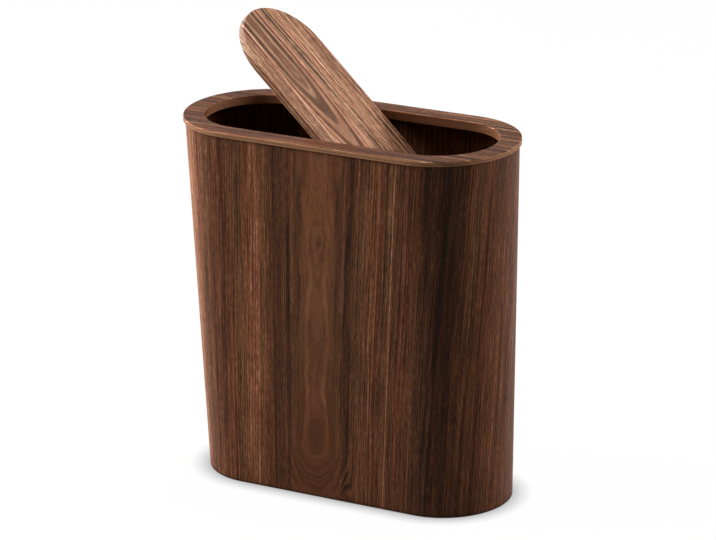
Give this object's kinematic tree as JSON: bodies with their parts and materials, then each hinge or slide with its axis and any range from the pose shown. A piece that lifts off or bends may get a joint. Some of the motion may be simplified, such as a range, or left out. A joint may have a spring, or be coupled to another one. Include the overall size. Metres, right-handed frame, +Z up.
{
  "type": "swing-lid waste bin",
  "caption": "Slim oval walnut waste bin: tapered bent plywood shell, lift-off top ring and a balanced swing lid that tips either way.",
  "frame": {"origin": "on the floor below the middle of the bin", "axes": "+X along the bin, +Y across it towards the back, +Z up"},
  "size_m": [0.3, 0.131, 0.3966],
  "materials": {
    "walnut_face": "oiled walnut face veneer, fine vertical grain, satin",
    "walnut_lining": "dark walnut lining veneer, matt",
    "walnut_ring": "walnut ring with rounded arrises, satin",
    "walnut_lid": "lighter walnut board with long streaks, satin",
    "core_plywood": "bare plywood, matt",
    "pad_rubber": "matt black rubber",
    "white_nylon": "natural nylon",
    "plate_steel": "zinc plated sheet",
    "screw_steel": "zinc plated",
    "pin_steel": "ground steel pin"
  },
  "bodies": {
    "bin": {"shell_core": "core_plywood", "shell_lining": "walnut_lining", "face_veneer_front": "walnut_face", "face_veneer_back": "walnut_face", "base_panel": "core_plywood", "base_cleat_front": "core_plywood", "base_cleat_back": "core_plywood", "base_screws": "screw_steel", "foot_pads": "pad_rubber"},
    "cover": {"top_ring": "walnut_ring", "bearing_block_front": "white_nylon", "bearing_block_back": "white_nylon", "retainer_plate_front": "plate_steel", "retainer_plate_back": "plate_steel", "retainer_screws_front": "screw_steel", "retainer_screws_back": "screw_steel"},
    "swing_lid": {"lid_panel": "walnut_lid", "pivot_pin_front": "pin_steel", "pivot_pin_back": "pin_steel", "spacer_washer_front": "white_nylon", "spacer_washer_back": "white_nylon"}
  },
  "joints": [
    {"name": "ring_lift", "type": "slide", "parent": "bin", "child": "cover", "axis": [0, 0, 1], "range_m": [0, 0.16]},
    {"name": "lid_swing", "type": "hinge", "parent": "cover", "child": "swing_lid", "pos_m": [0, 0, 0.3063], "axis": [0, 1, 0], "continuous": true}
  ]
}
